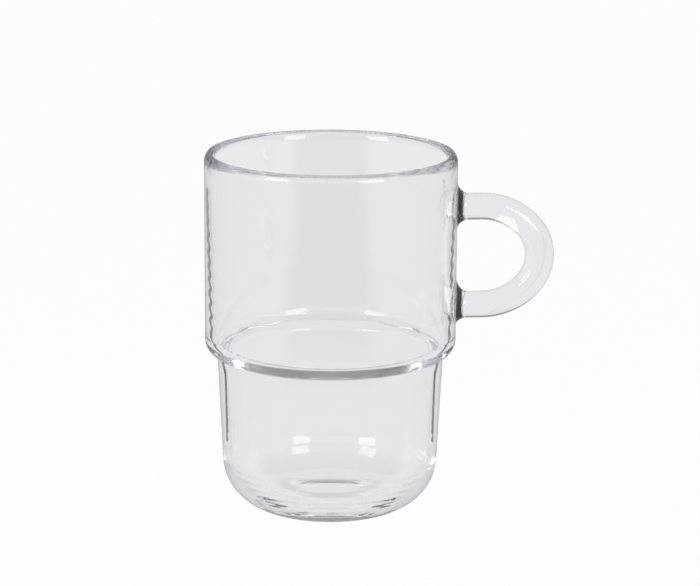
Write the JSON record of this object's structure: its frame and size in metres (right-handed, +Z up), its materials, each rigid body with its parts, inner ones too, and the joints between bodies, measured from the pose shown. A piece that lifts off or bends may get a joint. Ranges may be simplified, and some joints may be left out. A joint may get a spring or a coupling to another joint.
{
  "type": "cortado glass",
  "caption": "Clear glass cortado cup with a straight upper sleeve, a rounded stacking shoulder, a tapered lower cup and a round loop handle welded to the sleeve.",
  "frame": {"origin": "centre of the foot, on the cup's axis, in the plane of the table", "axes": "+Z up along the cup's axis, +X out through the middle of the handle"},
  "size_m": [0.0974, 0.07, 0.1011],
  "materials": {
    "cup_glass": "clear, fire-polished",
    "handle_glass": "clear, fire-polished"
  },
  "bodies": {
    "root": {"cup_body": "cup_glass", "handle": "handle_glass"}
  },
  "joints": []
}
